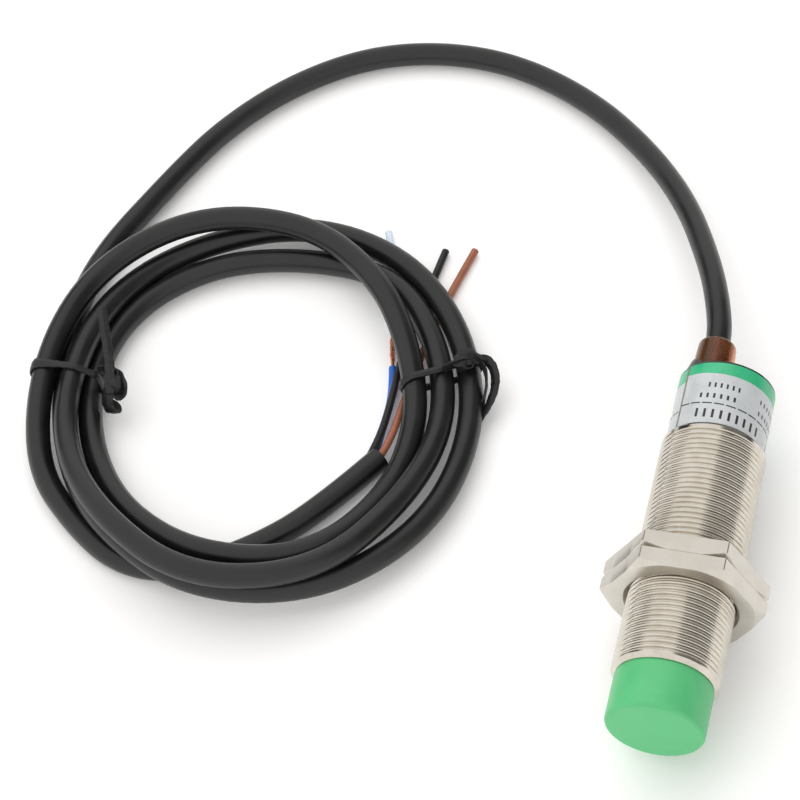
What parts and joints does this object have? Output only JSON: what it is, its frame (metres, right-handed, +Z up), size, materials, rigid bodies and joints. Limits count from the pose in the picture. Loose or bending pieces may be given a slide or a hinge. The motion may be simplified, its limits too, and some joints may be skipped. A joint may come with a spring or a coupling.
{
  "type": "proximity sensor",
  "caption": "Threaded inductive proximity sensor with a green sensing cap, jam nuts, a rear cable plug and a coiled, tied three-core cable with stripped end.",
  "frame": {"origin": "on the resting plane under the nuts, midway between the sensing face and the end of the rear plug, below the sensor's axis", "axes": "+Y along the sensor from its sensing face to its cable, +Z up off the surface it rests on; the sensing face looks along -Y"},
  "size_m": [0.1416, 0.1469, 0.024],
  "materials": {
    "nickel_plate": "bright nickel plate over brass",
    "nickel_satin": "satin nickel plate",
    "green_plastic": "moulded, slightly satin",
    "ferrite": "ground ferrite",
    "nylon_white": "moulded nylon",
    "copper": "bare and enamelled copper",
    "clear_resin": "cast resin",
    "board_green": "solder mask",
    "chip_black": "moulded epoxy",
    "tinned_metal": "tin",
    "capacitor_tan": "fired ceramic",
    "lamp_red": "clear tinted epoxy",
    "amber_plastic": "translucent moulded plastic",
    "resin_black": "cured epoxy",
    "label_white": "printed film",
    "pvc_jacket": "satin PVC",
    "pvc_black_core": "smooth PVC",
    "pvc_brown": "smooth PVC",
    "pvc_blue": "smooth PVC",
    "pvc_pale_blue": "thin pulled PVC",
    "tie_black": "plastic-coated wire"
  },
  "bodies": {
    "sensor": {"threaded_barrel": "nickel_plate", "sensing_cap": "green_plastic", "ferrite_core": "ferrite", "coil_bobbin": "nylon_white", "sensing_coil": "copper", "coil_leads": "copper", "coil_potting": "clear_resin", "circuit_board": "board_green", "detector_ic": "chip_black", "detector_ic_pins": "tinned_metal", "output_transistor": "chip_black", "protection_diode": "chip_black", "resistors": "chip_black", "capacitors": "capacitor_tan", "indicator_led": "lamp_red", "led_legs": "tinned_metal", "solder_joints": "tinned_metal", "inner_lead_brown": "pvc_brown", "inner_lead_black": "pvc_black_core", "inner_lead_blue": "pvc_blue", "rear_plug": "amber_plastic", "rear_potting": "resin_black", "label_wrap": "label_white", "supply_cable": "pvc_jacket", "cable_coil": "pvc_jacket", "cable_tail": "pvc_jacket", "core_brown": "pvc_brown", "core_black": "pvc_black_core", "core_blue": "pvc_blue", "copper_strands": "copper", "insulation_slug": "pvc_pale_blue", "left_tie": "tie_black", "right_tie": "tie_black"},
    "front_nut": {"front_nut": "nickel_satin"},
    "rear_nut": {"rear_nut": "nickel_satin"}
  },
  "joints": [
    {"name": "front_nut_travel", "type": "slide", "parent": "sensor", "child": "front_nut", "axis": [0, -1, 0], "range_m": [0, 0.0135]},
    {"name": "rear_nut_travel", "type": "slide", "parent": "sensor", "child": "rear_nut", "axis": [0, 1, 0], "range_m": [0, 0.0235]}
  ]
}
